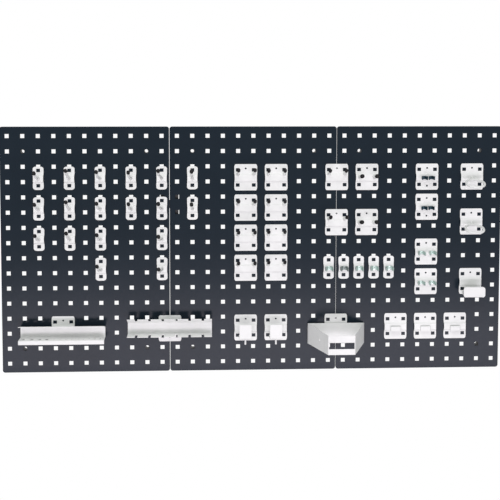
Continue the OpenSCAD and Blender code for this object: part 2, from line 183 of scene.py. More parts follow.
panel_coat = finish(
    "panel_coat", (0.006, 0.0125, 0.02), (0.0076, 0.0148, 0.0228), (0.2, 0.24), gloss=0.12
)
holder_coat = finish(
    "holder_coat", (0.72, 0.738, 0.718), (0.8, 0.815, 0.795), (0.34, 0.5),
    depth=0.015, gloss=0.3,
)
METAL_GRAIN = {"grain": 500, "depth": 0.01, "broad": 60}
zinc = finish(
    "zinc", (0.4, 0.52, 0.48), (0.58, 0.68, 0.64), (0.28, 0.48), 0.85, **METAL_GRAIN
)
dark_zinc = finish(
    "dark_zinc", (0.2, 0.24, 0.23), (0.34, 0.38, 0.37), (0.3, 0.5), 0.85, **METAL_GRAIN
)
blued_steel = finish(
    "blued_steel", (0.012, 0.028, 0.045), (0.04, 0.085, 0.11), (0.25, 0.42), 0.7,
    **METAL_GRAIN,
)
cap_plastic = finish(
    "cap_plastic", (0.005, 0.005, 0.006), (0.01, 0.01, 0.011), (0.4, 0.55),
    grain=700, depth=0.01, broad=80, gloss=0.2,
)
spacer_plastic = finish(
    "spacer_plastic", (0.008, 0.008, 0.009), (0.016, 0.016, 0.017), (0.4, 0.6),
    grain=500, depth=0.02, broad=60,
)
print("finishes", len(bpy.data.materials))


# %% [markdown]
# The operators act on all that is selected, so three small helpers start a piece,
# pick its faces, edges or corners by place, and run its modifiers to the end.

# %% Helpers for modelling
def start_clean():
    """Leaves edit mode and deselects everything."""
    if bpy.context.object and bpy.context.object.mode != "OBJECT":
        bpy.ops.object.mode_set(mode="OBJECT")
    bpy.ops.object.select_all(action="DESELECT")


def take(piece):
    """Makes one piece the only selected and active object."""
    start_clean()
    piece.select_set(True)
    bpy.context.view_layer.objects.active = piece
    return piece


def freeze(piece):
    """Applies a piece's place, turn and size to its mesh."""
    take(piece)
    bpy.ops.object.transform_apply(location=True, rotation=True, scale=True)
    return piece


def face_outwards():
    """Turns the faces of the piece in edit mode outwards and leaves edit mode."""
    bpy.ops.mesh.select_all(action="SELECT")
    bpy.ops.mesh.normals_make_consistent(inside=False)
    bpy.ops.object.mode_set(mode="OBJECT")


def face_front(piece):
    """Flips a sheet whose faces look backwards, so that it thickens to the back."""
    if sum(p.area * p.normal.y for p in piece.data.polygons) > 0:
        piece.data.flip_normals()


def pick(kind, test):
    """Selects corners, edges or faces in edit mode whose middle passes a test."""
    bpy.ops.mesh.select_mode(type=kind)
    bpy.ops.mesh.select_all(action="DESELECT")
    mesh = bmesh.from_edit_mesh(bpy.context.object.data)
    group = {"VERT": mesh.verts, "EDGE": mesh.edges, "FACE": mesh.faces}[kind]
    count = 0
    for part in group:
        corners = [part] if kind == "VERT" else part.verts
        middle = sum((v.co for v in corners), Vector()) / len(corners)
        if test(middle / MM):
            part.select_set(True)
            count += 1
    mesh.select_flush_mode()
    bmesh.update_edit_mesh(bpy.context.object.data)
    return count


def cut(axis, at):
    """Cuts the whole piece in edit mode along a plane square to an axis."""
    direction = {"x": (1, 0, 0), "y": (0, 1, 0), "z": (0, 0, 1)}[axis]
    bpy.ops.mesh.select_all(action="SELECT")
    bpy.ops.mesh.bisect(plane_co=tuple(d * at * MM for d in direction), plane_no=direction)


def push(x=0.0, y=0.0, z=0.0):
    """Extrudes what is selected by a step in millimetres."""
    step = (x * MM, y * MM, z * MM)
    bpy.ops.mesh.extrude_region_move(TRANSFORM_OT_translate={"value": step})


def move(x=0.0, y=0.0, z=0.0):
    """Moves what is selected by a step in millimetres."""
    bpy.ops.transform.translate(value=(x * MM, y * MM, z * MM))


def upright_plane(name, width, height, y, z):
    """A plane that faces the front, given its size and middle in millimetres."""
    start_clean()
    bpy.ops.mesh.primitive_plane_add(
        size=1, location=(0, y * MM, z * MM), rotation=(pi / 2, 0, 0)
    )
    piece = bpy.context.object
    piece.name = piece.data.name = name
    piece.scale = (width * MM, height * MM, 1)
    return freeze(piece)


def apply_all(piece, smooth=35):
    """Applies every modifier of a piece in order and smooths its shading."""
    take(piece)
    for modifier in list(piece.modifiers):
        bpy.ops.object.modifier_apply(modifier=modifier.name)
    bpy.ops.object.shade_smooth_by_angle(angle=radians(smooth))
    return piece


def even_shading(piece):
    """Lets large faces set the shading, so flat sheet looks flat beside a bevel."""
    take(piece)
    even = piece.modifiers.new("even", "WEIGHTED_NORMAL")
    even.keep_sharp = True
    bpy.ops.object.modifier_apply(modifier=even.name)
    return piece


def round_edges(piece, width, sharper_than):
    """Adds a small rounding, not yet applied, to edges sharper than an angle."""
    rounding = piece.modifiers.new("rounding", "BEVEL")
    rounding.width, rounding.segments = width * MM, 2
    rounding.limit_method, rounding.angle_limit = "ANGLE", radians(sharper_than)


def thicken(piece, thickness, edge=0.35, offset=-1):
    """Gives a bent sheet its thickness and small rounded edges."""
    sheet = piece.modifiers.new("sheet", "SOLIDIFY")
    sheet.thickness, sheet.offset = thickness * MM, offset
    sheet.use_even_offset = True
    round_edges(piece, edge, 40)
    return apply_all(piece)


def subtract(piece, tool):
    """Takes the tool's shape out of the piece and removes the tool."""
    hole = piece.modifiers.new("hole", "BOOLEAN")
    hole.operation, hole.object, hole.solver = "DIFFERENCE", tool, "EXACT"
    take(piece)
    bpy.ops.object.modifier_apply(modifier=hole.name)
    bpy.data.objects.remove(tool)


def drill(piece, holes):
    """Subtracts round bars, each given as middle, radius, length and axis."""
    for middle, radius, length, axis in holes:
        start_clean()
        turn = {"x": (0, pi / 2, 0), "y": (pi / 2, 0, 0), "z": (0, 0, 0)}[axis]
        bpy.ops.mesh.primitive_cylinder_add(
            vertices=24, radius=radius * MM, depth=length * MM,
            location=tuple(c * MM for c in middle), rotation=turn,
        )
        subtract(piece, bpy.context.object)
    return piece


def join(pieces, name):
    """Joins pieces of one solid object and keeps the first one's place."""
    take(pieces[0])
    for piece in pieces[1:]:
        piece.select_set(True)
    bpy.ops.object.join()
    pieces[0].name = pieces[0].data.name = name
    return pieces[0]


print("helpers ready")

# %% [markdown]
# A panel is one sheet with its four sides folded back. The sheet is cut along the
# sides of every hole, the hole faces are dropped, the corners are rounded and the
# rim is pulled out of the outline. One panel is modelled and moved to three places.

# %% The perforated panel
PITCH, HOLE = 38, 10
PANEL_T, PANEL_CORNER, RIM_BEND = 1.5, 6, 1.2
PANELS = ("panel_left", "panel_middle", "panel_right")
panel_low, panel_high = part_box("panel_middle")
panel_w, panel_h = (panel_high.x - panel_low.x) / MM, (panel_high.z - panel_low.z) / MM
front_y, rim_y = panel_low.y / MM, panel_high.y / MM
panel = upright_plane("panel", panel_w, panel_h, front_y, 0)
bpy.ops.object.mode_set(mode="EDIT")
hole_x = [(i - 5) * PITCH for i in range(11)]
hole_z = [(j - 7.5) * PITCH for j in range(16)]
for x in hole_x:
    cut("x", x - HOLE / 2)
    cut("x", x + HOLE / 2)
for z in hole_z:
    cut("z", z - HOLE / 2)
    cut("z", z + HOLE / 2)
pick(
    "FACE",
    lambda c: min(abs(c.x - x) for x in hole_x) < 3
    and min(abs(c.z - z) for z in hole_z) < 3,
)
bpy.ops.mesh.delete(type="FACE")
pick("VERT", lambda c: abs(c.x) > panel_w / 2 - 1 and abs(c.z) > panel_h / 2 - 1)
bpy.ops.mesh.bevel(offset=PANEL_CORNER * MM, segments=6, affect="VERTICES")


def on_outline(c):
    """True on the panel's outline, rounded corners included."""
    dx, dz = panel_w / 2 - abs(c.x), panel_h / 2 - abs(c.z)
    in_corner = dx < PANEL_CORNER and dz < PANEL_CORNER and dx + dz < 1.5 * PANEL_CORNER
    return min(dx, dz) < 0.1 or in_corner


pick("EDGE", on_outline)
push(y=rim_y - front_y)
pick("EDGE", lambda c: abs(c.y - front_y) < 0.1 and on_outline(c))
bpy.ops.mesh.bevel(offset=RIM_BEND * MM, segments=2, affect="EDGES")
face_outwards()
face_front(panel)
thicken(panel, PANEL_T, 0.25)
even_shading(panel)
print("panel faces", len(panel.data.polygons))


# %% Place the panels
def stand_in(pattern, name, node, body, coat, step=(0, 0, 0), hides=True):
    """Copies a finished pattern to its place and lets it ride with a body."""
    take(pattern)
    bpy.ops.object.duplicate()
    piece = bpy.context.object
    piece.name = piece.data.name = name
    piece.data.transform(Matrix.Translation(step))
    piece.data.materials.clear()
    piece.data.materials.append(coat)
    if hides:
        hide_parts(node)
    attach(piece, body)
    return piece


for node in PANELS:
    low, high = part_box(node)
    step = ((low.x + high.x) / 2, 0, 0)
    stand_in(panel, node + "_sheet", node, "wall", panel_coat, step)
bpy.data.objects.remove(panel)
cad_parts["panel_joiners"].data.materials.clear()
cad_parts["panel_joiners"].data.materials.append(spacer_plastic)
print("panels placed")

# %% [markdown]
# A moulded spacer stands behind every screw hole and holds the sheet off the wall.
# It is one turned shape: two flanges, a slimmer body and a bore, so it is pulled
# from a ring of points, out along the outside and back down the bore.

# %% Wall spacers
spacer_low, spacer_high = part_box("wall_spacers")
spacer_depth = (spacer_high.y - spacer_low.y) / MM
FLANGE_R, BODY_R, BORE_R, FLANGE_T = 11, 8, 4.5, 2.5
TURN_STEPS = 32
start_clean()
bpy.ops.mesh.primitive_circle_add(
    vertices=TURN_STEPS, radius=FLANGE_R * MM, location=(0, 0, 0), rotation=(pi / 2, 0, 0)
)
spacer = freeze(bpy.context.object)
bpy.ops.object.mode_set(mode="EDIT")
bpy.ops.mesh.select_all(action="SELECT")
radius = FLANGE_R
for next_radius, step in (
    (FLANGE_R, FLANGE_T), (BODY_R, 0),
    (BODY_R, spacer_depth - 2 * FLANGE_T), (FLANGE_R, 0),
    (FLANGE_R, FLANGE_T), (BORE_R, 0),
    (BORE_R, -spacer_depth), (FLANGE_R, 0),
):
    push(y=step)
    share = next_radius / radius
    ring_y = [v.co.y for v in bmesh.from_edit_mesh(spacer.data).verts if v.select]
    middle_y = sum(ring_y, 0.0) / TURN_STEPS
    bpy.ops.transform.resize(value=(share, 1, share), center_override=(0, middle_y, 0))
    radius = next_radius
bpy.ops.mesh.select_all(action="SELECT")
bpy.ops.mesh.remove_doubles(threshold=WELD)
face_outwards()
round_edges(spacer, 0.5, 60)
even_shading(apply_all(spacer))
screw_x, screw_z = 4 * PITCH * MM, 6.5 * PITCH * MM
spacers = []
for node in PANELS:
    low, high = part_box(node)
    for side in (-1, 1):
        for level in (-1, 1):
            take(spacer)
            bpy.ops.object.duplicate()
            copied = bpy.context.object
            place = ((low.x + high.x) / 2 + side * screw_x, spacer_low.y, level * screw_z)
            copied.data.transform(Matrix.Translation(place))
            spacers.append(copied)
bpy.data.objects.remove(spacer)
wall_set = join(spacers, "wall_spacer_set")
wall_set.data.materials.append(spacer_plastic)
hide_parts("wall_spacers")
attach(wall_set, "wall")
print("spacers", len(spacers), "box", [round(d / MM) for d in wall_set.dimensions])

# %% [markdown]
# Holder plates are stamped from 2 mm sheet. The two or four windows are where the
# hook-in lugs were cut and folded back, and a band across the middle is pressed
# forward to stiffen the plate. The waist is where the press drew the sides in.

# %% Sizes shared by the plates
FRONT, PLATE_T = -2.3, 2
NARROW_W, NARROW_TOP, NARROW_H = 26.5, 0.5, 58
WIDE_W, WIDE_TOP, WIDE_H = 57, 5.3, 66
WIDE_LUG_X = 20
LUG_START, LUG_W, LUG_T, LUG_BACK = -1.3, 7, 2, 3.8
WINDOW_TOP, WINDOW_H, WINDOW_W = -4.8, 8.5, 9.4
HIGH_EYE, LOW_EYE, EYE_R = -5.55, -50.55, 2.25
BAND_Z, BAND_DEPTH, BAND_FLAT, BAND_FOOT = -29.45, 3, 7.5, 10.75
print("band at", BAND_Z)


# %% Model a plate and its lugs
def model_lug(x, z):
    """A tongue that runs back through a hole and turns down behind the sheet."""
    piece = upright_plane("lug", LUG_W, LUG_T, LUG_START, -3.8)
    bpy.ops.object.mode_set(mode="EDIT")
    bpy.ops.mesh.select_all(action="SELECT")
    push(y=3.1)
    push(y=LUG_T)
    pick("FACE", lambda c: abs(c.z + 4.8) < 0.1 and c.y > 1.9)
    push(z=-4)
    pick("EDGE", lambda c: c.y > 3.7 and abs(c.z + 2.8) < 0.1)
    bpy.ops.mesh.bevel(offset=1.4 * MM, segments=3, affect="EDGES")
    bpy.ops.mesh.select_all(action="SELECT")
    move(x=x, z=z)
    face_outwards()
    return apply_all(piece)


def model_plate(name, width, top, height, radius, columns, eyes):
    """A stamped plate with its windows, pressed band, waist and lugs."""
    bottom = top - height
    plate = upright_plane("plate", width, height, FRONT, (top + bottom) / 2)
    bpy.ops.object.mode_set(mode="EDIT")
    for x in columns:
        cut("x", x - WINDOW_W / 2)
        cut("x", x + WINDOW_W / 2)
    window_foot, window_middle = WINDOW_TOP - WINDOW_H, WINDOW_TOP - WINDOW_H / 2
    levels = [WINDOW_TOP, window_foot, WINDOW_TOP - PITCH, window_foot - PITCH]
    band_edges = (-12, -BAND_FOOT, -BAND_FLAT, -3, 3, BAND_FLAT, BAND_FOOT, 12)
    for z in levels + [BAND_Z + d for d in band_edges]:
        cut("z", z)
    middles = [window_middle, window_middle - PITCH]
    pick(
        "FACE",
        lambda c: any(abs(c.x - x) < 2 for x in columns)
        and any(abs(c.z - z) < 2 for z in middles),
    )
    bpy.ops.mesh.delete(type="FACE")
    for reach, depth in ((12.1, 0.15), (11, 0.2), (8, 0.25), (3.2, 0.2)):
        for side in (-1, 1):
            pick("VERT", lambda c: c.x * side > width / 2 - 2 and abs(c.z - BAND_Z) < reach)
            move(x=-side * depth)
    pick("VERT", lambda c: abs(c.z - BAND_Z) < BAND_FLAT + 0.1)
    move(y=-BAND_DEPTH)
    folds = (BAND_FLAT, BAND_FOOT)
    pick("EDGE", lambda c: min(abs(abs(c.z - BAND_Z) - d) for d in folds) < 0.05)
    bpy.ops.mesh.bevel(offset=0.9 * MM, segments=3, affect="EDGES")
    pick(
        "VERT",
        lambda c: abs(c.x) > width / 2 - 0.1 and not bottom + 0.1 <= c.z <= top - 0.1,
    )
    bpy.ops.mesh.bevel(offset=radius * MM, segments=7, affect="VERTICES")
    bpy.ops.object.mode_set(mode="OBJECT")
    face_front(plate)
    sheet = plate.modifiers.new("sheet", "SOLIDIFY")
    sheet.thickness, sheet.offset = PLATE_T * MM, -1
    apply_all(plate)
    drill(plate, [((0, FRONT, z), EYE_R, 8, "y") for z in eyes])
    round_edges(plate, 0.35, 50)
    apply_all(plate)
    lugs = [model_lug(x, z) for x in columns for z in (0, -PITCH)]
    return join([plate] + lugs, name)


wide_size, wide_lugs = (WIDE_W, WIDE_TOP, WIDE_H, 8), (-WIDE_LUG_X, WIDE_LUG_X)
narrow_plate = model_plate("narrow_plate", NARROW_W, NARROW_TOP, NARROW_H, 9, [0], [])
wide_plate = model_plate("wide_plate", *wide_size, wide_lugs, [HIGH_EYE])
eyed_plate = model_plate("eyed_plate", *wide_size, wide_lugs, [HIGH_EYE, LOW_EYE])
print("plate faces", len(narrow_plate.data.polygons), len(wide_plate.data.polygons))

# %% [markdown]
# A hook is one rod. It starts as a ring of points at a small weld flare, is pulled
# straight out, spun round the bend and pulled on to its tip. The cap is a sphere
# whose lower half is flattened and drawn down to a flat base.

# %% Model rods and caps
SLOPE, TURN, BITE = 8.5, 18, 1.3
BEND_R = 40
BEND_RUN = BEND_R * tan(radians(TURN / 2))
ROD_R, FLARE_R, FLARE_LEN, FLARE_TAPER = 3, 4.3, 4.4, 1.2
CAP_R, CAP_LEN, CAP_HOLD = 4.25, 8, 2


def aim_forward(piece, x, z, slope=SLOPE):
    """Turns a piece made along Z so that it leaves the plate forward at a slope."""
    piece.rotation_euler = (radians(90 - slope), 0, 0)
    piece.location = (x * MM, -BITE * MM, z * MM)
    return freeze(piece)


def ring_of_points(name, radius, sides=20):
    """The open ring that a rod is pulled from."""
    start_clean()
    bpy.ops.mesh.primitive_circle_add(
        vertices=sides, radius=radius * MM, fill_type="NGON"
    )
    piece = bpy.context.object
    piece.name = piece.data.name = name
    bpy.ops.object.mode_set(mode="EDIT")
    bpy.ops.mesh.select_all(action="SELECT")
    return piece


def close_rod(piece):
    """Turns a pulled rod's faces outwards and smooths it."""
    bpy.ops.mesh.select_all(action="SELECT")
    bpy.ops.mesh.remove_doubles(threshold=WELD)
    face_outwards()
    return apply_all(piece, 50)


def widen(share):
    """Scales what is selected in X and Y."""
    bpy.ops.transform.resize(value=(share, share, 1))


def flared_start(name, flare, radius):
    """Starts a rod with the thick weld at its root, ready to be pulled on."""
    piece = ring_of_points(name, flare)
    push(z=FLARE_LEN)
    push(z=FLARE_TAPER)
    widen(radius / flare)
    return piece


def model_rod(straight, end_len):
    """A 6 mm rod with a weld flare, a straight run, a bend and a short end."""
    rod = flared_start("rod", FLARE_R, ROD_R)
    push(z=straight - BEND_RUN - FLARE_LEN - FLARE_TAPER)
    bpy.ops.mesh.spin(
        steps=8,
        angle=radians(TURN),
        center=(0, BEND_R * MM, (straight - BEND_RUN) * MM),
        axis=(1, 0, 0),
    )
    rest = end_len - BEND_RUN - CAP_LEN + CAP_HOLD
    push(y=rest * sin(radians(TURN)), z=rest * cos(radians(TURN)))
    return close_rod(rod)


def model_cap(name, radius, length):
    """A moulded cap along Z that ends in a dome at the top."""
    start_clean()
    bpy.ops.mesh.primitive_uv_sphere_add(segments=20, ring_count=12, radius=radius * MM)
    cap = bpy.context.object
    cap.name = cap.data.name = name
    bpy.ops.object.mode_set(mode="EDIT")
    pick("VERT", lambda c: c.z < 0.01)
    bpy.ops.transform.resize(value=(1, 1, 0))
    move(z=radius - length)
    bpy.ops.mesh.select_all(action="SELECT")
    bpy.ops.mesh.remove_doubles(threshold=WELD)
    face_outwards()
    round_edges(cap, 0.5, 60)
    return apply_all(cap, 50)


def end_reach(end_len):
    """How far forward the upturned end and its cap reach."""
    return end_len * cos(radians(SLOPE + TURN))


def model_hook(x, z, reach, end_len):
    """A rod and its cap in place on a plate."""
    straight = (reach - BITE - end_reach(end_len)) / cos(radians(SLOPE))
    rod = model_rod(straight, end_len)
    cap = model_cap("cap", CAP_R, CAP_LEN)
    cap.rotation_euler = (-radians(TURN), 0, 0)
    along = end_len - CAP_R
    tip_y, tip_z = along * sin(radians(TURN)), straight + along * cos(radians(TURN))
    cap.location = (0, tip_y * MM, tip_z * MM)
    freeze(cap)
    return aim_forward(rod, x, z), aim_forward(cap, x, z)


print("bend radius", round(BEND_R, 1))


# %% [markdown]
# A holder's place is read from its node: the middle in X, the back of the lugs in Y
# and the foot of the plate in Z.

# %% Copy a holder to its places
def copy_plate(plate):
    """A fresh copy of a plate to build a holder on."""
    take(plate)
    bpy.ops.object.duplicate()
    return bpy.context.object


def spot(node, drop):
    """Where the panel hole behind a holder's upper window is."""
    low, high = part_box(node)
    return ((low.x + high.x) / 2, high.y - LUG_BACK * MM, low.z + drop * MM)


def furnish(names, pattern, drop, trims=(), coat=holder_coat):
    """Copies a holder and its trims to every node in a list."""
    patterns = [pattern] + [trim for trim, _, _ in trims]
    for used in patterns:
        even_shading(used)
    for node in names:
        step, body = spot(node, drop), node + "_body"
        stand_in(pattern, node + "_metal", node, body, coat, step)
        for k, (trim, trim_slot, trim_coat) in enumerate(trims):
            name = f"{node}_trim{k}"
            stand_in(trim, name, node, body, trim_coat, step, hides=False)
    for used in patterns:
        bpy.data.objects.remove(used)


def nodes_named(start):
    """The frame's nodes whose names begin with some text."""
    return [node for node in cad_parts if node.startswith(start)]


NARROW_DROP, WIDE_DROP = NARROW_H - NARROW_TOP, WIDE_H - WIDE_TOP
print("drops", NARROW_DROP, WIDE_DROP)

# %% Single hooks
single_kinds = (  # column, reach, length of the upturned end
    (3, 70, 38),
    (5, 75, 56),
    (7, 98, 42),
    (9, 100, 37),
    (11, 202, 30),
    (13, 200, 25),
)
for column, reach, end_len in single_kinds:
    rod, cap = model_hook(0, BAND_Z, reach, end_len)
    holder = join([copy_plate(narrow_plate), rod], "single_hook")
    names = nodes_named(f"hook_c{column}_")
    furnish(names, holder, NARROW_DROP, [(cap, "joiner", cap_plastic)])
    print("single hooks in column", column, len(names))

# %% Double hooks
double_kinds = (  # start of the names, reach, length of the upturned end
    ("double_hook_c16", 75, 25),
    ("double_hook_c18", 40, 27),
    ("double_hook_c22_r3", 38, 26),
    ("double_hook_c22_r6", 54, 20),
)
DOUBLE_RISE = 9.5
for start, reach, end_len in double_kinds:
    names = nodes_named(start)
    pairs = [model_hook(x, BAND_Z + DOUBLE_RISE, reach, end_len) for x in wide_lugs]
    holder = join([copy_plate(wide_plate)] + [rod for rod, _ in pairs], "double_hook")
    caps = join([cap for _, cap in pairs], "hook_caps")
    furnish(names, holder, WIDE_DROP, [(caps, "joiner", cap_plastic)])
    print("double hooks", reach, len(names))

# %% Straight prongs
PRONG_R, PRONG_FLARE_R, PRONG_X, PRONG_RISE, PRONG_REACH = 4, 5.2, 18.4, 1.1, 53
FAT_CAP_R, FAT_CAP_LEN = 5.25, 10
prong_rods, prong_caps = [], []
prong_len = (PRONG_REACH - BITE) / cos(radians(SLOPE))
for x in (-PRONG_X, PRONG_X):
    prong = flared_start("prong", PRONG_FLARE_R, PRONG_R)
    push(z=prong_len - FLARE_LEN - FLARE_TAPER - FAT_CAP_LEN + CAP_HOLD)
    prong_rods.append(aim_forward(close_rod(prong), x, BAND_Z + PRONG_RISE))
    fat_cap = model_cap("fat_cap", FAT_CAP_R, FAT_CAP_LEN)
    fat_cap.location = (0, 0, (prong_len - FAT_CAP_R) * MM)
    prong_caps.append(aim_forward(freeze(fat_cap), x, BAND_Z + PRONG_RISE))
holder = join([copy_plate(wide_plate)] + prong_rods, "prong_holder")
fat_caps = join(prong_caps, "fat_caps")
names = nodes_named("prongs_")
furnish(names, holder, WIDE_DROP, [(fat_caps, "joiner", cap_plastic)])
print("prongs", names)


# %% [markdown]
# A spring clip is a strip bent round three quarters of a circle, with its ends
# flared so that a tool can be pushed in. The strip grows out of an arc of points.

# %% Model a spring clip
CLIP_T, HALF_MOUTH = 1.2, 40
BAND_FRONT = BAND_DEPTH - FRONT


def model_clip(width, strip, x):
    """A split ring of spring strip with flared lips, and the rivet that holds it."""
    radius = width / 2 - CLIP_T / 2
    middle_y = -(BAND_FRONT + width / 2 - 0.1)
    start_clean()
    bpy.ops.mesh.primitive_circle_add(
        vertices=60, radius=radius * MM, location=(0, 0, -strip / 2 * MM)
    )
    clip = freeze(bpy.context.object)
    bpy.ops.object.mode_set(mode="EDIT")
    mouth = radius * cos(radians(HALF_MOUTH))
    pick("VERT", lambda c: c.y < -mouth)
    bpy.ops.mesh.delete(type="VERT")
    for side in (-1, 1):
        pick("VERT", lambda c: c.x * side > 0 and c.y < -mouth + 0.9)
        push(x=side * 1.1, y=-2.2)
        push(x=side * 1.4, y=-2.2)
    bpy.ops.mesh.select_all(action="SELECT")
    push(z=strip)
    bpy.ops.mesh.select_all(action="SELECT")
    move(x=x, y=middle_y, z=BAND_Z)
    face_outwards()
    thicken(clip, CLIP_T, 0.2, 0)
    start_clean()
    bpy.ops.mesh.primitive_uv_sphere_add(
        segments=20, ring_count=10, radius=min(3, width * 0.225) * MM,
        location=(x * MM, -6.4 * MM, BAND_Z * MM),
    )
    rivet = bpy.context.object
    bpy.ops.object.mode_set(mode="EDIT")
    bpy.ops.mesh.select_all(action="SELECT")
    bpy.ops.transform.resize(value=(1, 0.45, 1))
    apply_all(freeze(rivet), 60)
    return join([clip, rivet], "clip")


print("clip helper ready")

# %% Single and twin clips
clip_names = nodes_named("clip_")
clip_plate, clip = copy_plate(narrow_plate), model_clip(20, 9.5, 0)
dark_names = ["clip_c23_r9"]
pale_names = [node for node in clip_names if node not in dark_names]
for names, coat in ((dark_names, dark_zinc), (pale_names, zinc)):
    plate_copy, clip_copy = copy_plate(clip_plate), copy_plate(clip)
    furnish(names, plate_copy, NARROW_DROP, [(clip_copy, "zinc_clip", coat)])
bpy.data.objects.remove(clip_plate)
bpy.data.objects.remove(clip)
twin_kinds = [
    (["twin_clip_c28_r3", "twin_clip_c28_r5"], 13, 8.8, blued_steel, eyed_plate),
    (["twin_clip_c28_r8", "twin_clip_c28_r10"], 17, 14, zinc, wide_plate),
]
for names, width, half, coat, plate in twin_kinds:
    clips = join([model_clip(width, 8, x) for x in (-half, half)], "clips")
    furnish(names, copy_plate(plate), WIDE_DROP, [(clips, "zinc_clip", coat)])
print("clips", len(clip_names), "and twins")

# %% [markdown]
# The ring holder is a ring of wire on a short stem, tilted down to the front. The
# J tray is a strip that runs forward from the plate's foot and turns up.

# %% Ring holder
start_clean()
RING_R, RING_REACH, RING_SLOPE, STEM_FLARE_R = 22.5, 37, -19, 4.4
bpy.ops.mesh.primitive_torus_add(
    major_segments=56, minor_segments=16, major_radius=RING_R * MM,
    minor_radius=ROD_R * MM, location=(0, 0, RING_REACH * MM), rotation=(pi / 2, 0, 0),
)
ring = apply_all(freeze(bpy.context.object), 60)
stem = ring_of_points("stem", ROD_R)
for length, share in (
    (2.6, STEM_FLARE_R / ROD_R), (1.6, 1),
    (1.2, ROD_R / STEM_FLARE_R), (6.4, 1), (1.8, 1.25),
):
    push(z=length)
    if share != 1:
        widen(share)
close_rod(stem)
ring = join([aim_forward(part, 0, BAND_Z, RING_SLOPE) for part in (ring, stem)], "ring")
holder = join([copy_plate(wide_plate), ring], "ring_holder")
furnish(nodes_named("ring_"), holder, WIDE_DROP)
print("ring holders placed")

# %% J tray
foot = WIDE_TOP - WIDE_H
LIP_W, LIP_H, LIP_Y, LIP_CORNER, STRIP_HALF = 54, 26, -46, 6, 21
lip = upright_plane("lip", LIP_W, LIP_H, LIP_Y, foot + LIP_H / 2)
bpy.ops.object.mode_set(mode="EDIT")
cut("x", -STRIP_HALF)
cut("x", STRIP_HALF)
pick("VERT", lambda c: abs(c.x) > LIP_W / 2 - 1)
bpy.ops.mesh.bevel(offset=LIP_CORNER * MM, segments=6, affect="VERTICES")
pick("EDGE", lambda c: abs(c.x) < 1 and c.z < foot + 0.1)
push(y=44.5)
pick("EDGE", lambda c: abs(c.x) < 1 and c.z < foot + 0.1 and c.y < LIP_Y + 0.1)
bpy.ops.mesh.bevel(offset=2.5 * MM, segments=4, affect="EDGES")
face_outwards()
face_front(lip)
thicken(lip, PLATE_T)
holder = join([copy_plate(wide_plate), lip], "j_tray_holder")
furnish(["j_tray"], holder, WIDE_DROP)
print("j tray placed")


# %% Straps and saddles
def bent_strip(name, width, profile, thickness, x=0, bend=2):
    """A strip of sheet that follows a profile of (y, z) points in millimetres."""
    start_clean()
    bpy.ops.mesh.primitive_plane_add(size=1)
    strip = bpy.context.object
    strip.name = strip.data.name = name
    bpy.ops.object.mode_set(mode="EDIT")
    bpy.ops.mesh.select_all(action="SELECT")
    bpy.ops.transform.resize(value=(width * MM, MM, 1))
    (y0, z0), (y1, z1) = profile[:2]
    bpy.ops.mesh.select_mode(type="VERT")
    for near, y, z in ((-1, y0, z0), (1, y1, z1)):
        pick("VERT", lambda c: c.y * near > 0 and abs(c.z) < 0.001 and abs(c.y) < 0.6)
        move(x=x, y=y - near * 0.5, z=z)
    for (ya, za), (yb, zb) in zip(profile[1:], profile[2:]):
        pick("EDGE", lambda c: abs(c.y - ya) < 0.01 and abs(c.z - za) < 0.01)
        push(y=yb - ya, z=zb - za)
    corners = profile[1:-1]
    pick(
        "EDGE",
        lambda c: any(abs(c.y - y) < 0.01 and abs(c.z - z) < 0.01 for y, z in corners),
    )
    bpy.ops.mesh.bevel(offset=bend * MM, segments=4, affect="EDGES")
    face_outwards()
    return thicken(strip, thickness, min(0.35, thickness * 0.2), 0)


strap = upright_plane("strap", 24.5, 12, -9.55, BAND_Z - 3.9)
bpy.ops.object.mode_set(mode="EDIT")
for side in (-1, 1):
    pick("EDGE", lambda c: c.x * side > 12)
    push(y=4.2)
pick("EDGE", lambda c: abs(c.x) > 12 and c.y < -9)
bpy.ops.mesh.bevel(offset=1.8 * MM, segments=4, affect="EDGES")
bpy.ops.object.mode_set(mode="OBJECT")
thicken(strap, 1.5, 0.3, 0)
holder = join([copy_plate(wide_plate), strap], "strap_holder")
furnish(nodes_named("strap_"), holder, WIDE_DROP)

floor_z = BAND_Z - 19.5
SADDLE_X, SADDLE_W, SADDLE_Y, SADDLE_TOP = -2, 30, -44, floor_z + 38
saddle_line = [(-BITE, floor_z + 1), (SADDLE_Y, floor_z + 1), (SADDLE_Y, SADDLE_TOP)]
saddle = bent_strip("saddle", SADDLE_W, saddle_line, PLATE_T, x=SADDLE_X, bend=4)
pin = ring_of_points("pin", 2.25)
push(z=12)
bpy.ops.mesh.select_all(action="SELECT")
move(x=SADDLE_X, y=-36, z=floor_z - 13)
close_rod(pin)
holder = join([copy_plate(wide_plate), saddle, pin], "saddle_holder")
furnish(nodes_named("saddle_"), holder, 13 - floor_z)
print("straps and saddles placed")

# %% [markdown]
# The shelf and the rack are channels: a back, a level floor and a flared top, folded
# from one sheet. The shelf is drilled for blades and the rack is slotted.

# %% Screwdriver shelf
CHANNEL_W, CHANNEL_T, CHANNEL_D, CHANNEL_BACK, CHANNEL_LIP = 210, 1.5, 42, -6, -41.2
LARGE_R, SMALL_R = 5.25, 3.25
shelf_top, shelf_h = -19, 28
rise = (CHANNEL_D - 5.25) * tan(radians(12))
shelf_floor = shelf_top - shelf_h + CHANNEL_T / 2
shelf_line = [
    (CHANNEL_LIP, shelf_top + rise - 0.8),
    (CHANNEL_BACK, shelf_top - 0.8),
    (CHANNEL_BACK, shelf_floor),
    (CHANNEL_LIP, shelf_floor),
    (CHANNEL_LIP, shelf_top - shelf_h - 9),
]
shelf = bent_strip("shelf", CHANNEL_W, shelf_line, CHANNEL_T, bend=1.6)
gaps = [CHANNEL_W * (0.0643 + 0.0371 * 0.72**i) for i in range(12)]
shelf_x = [-CHANNEL_W * 0.452 + sum(gaps[:i]) for i in range(13)]
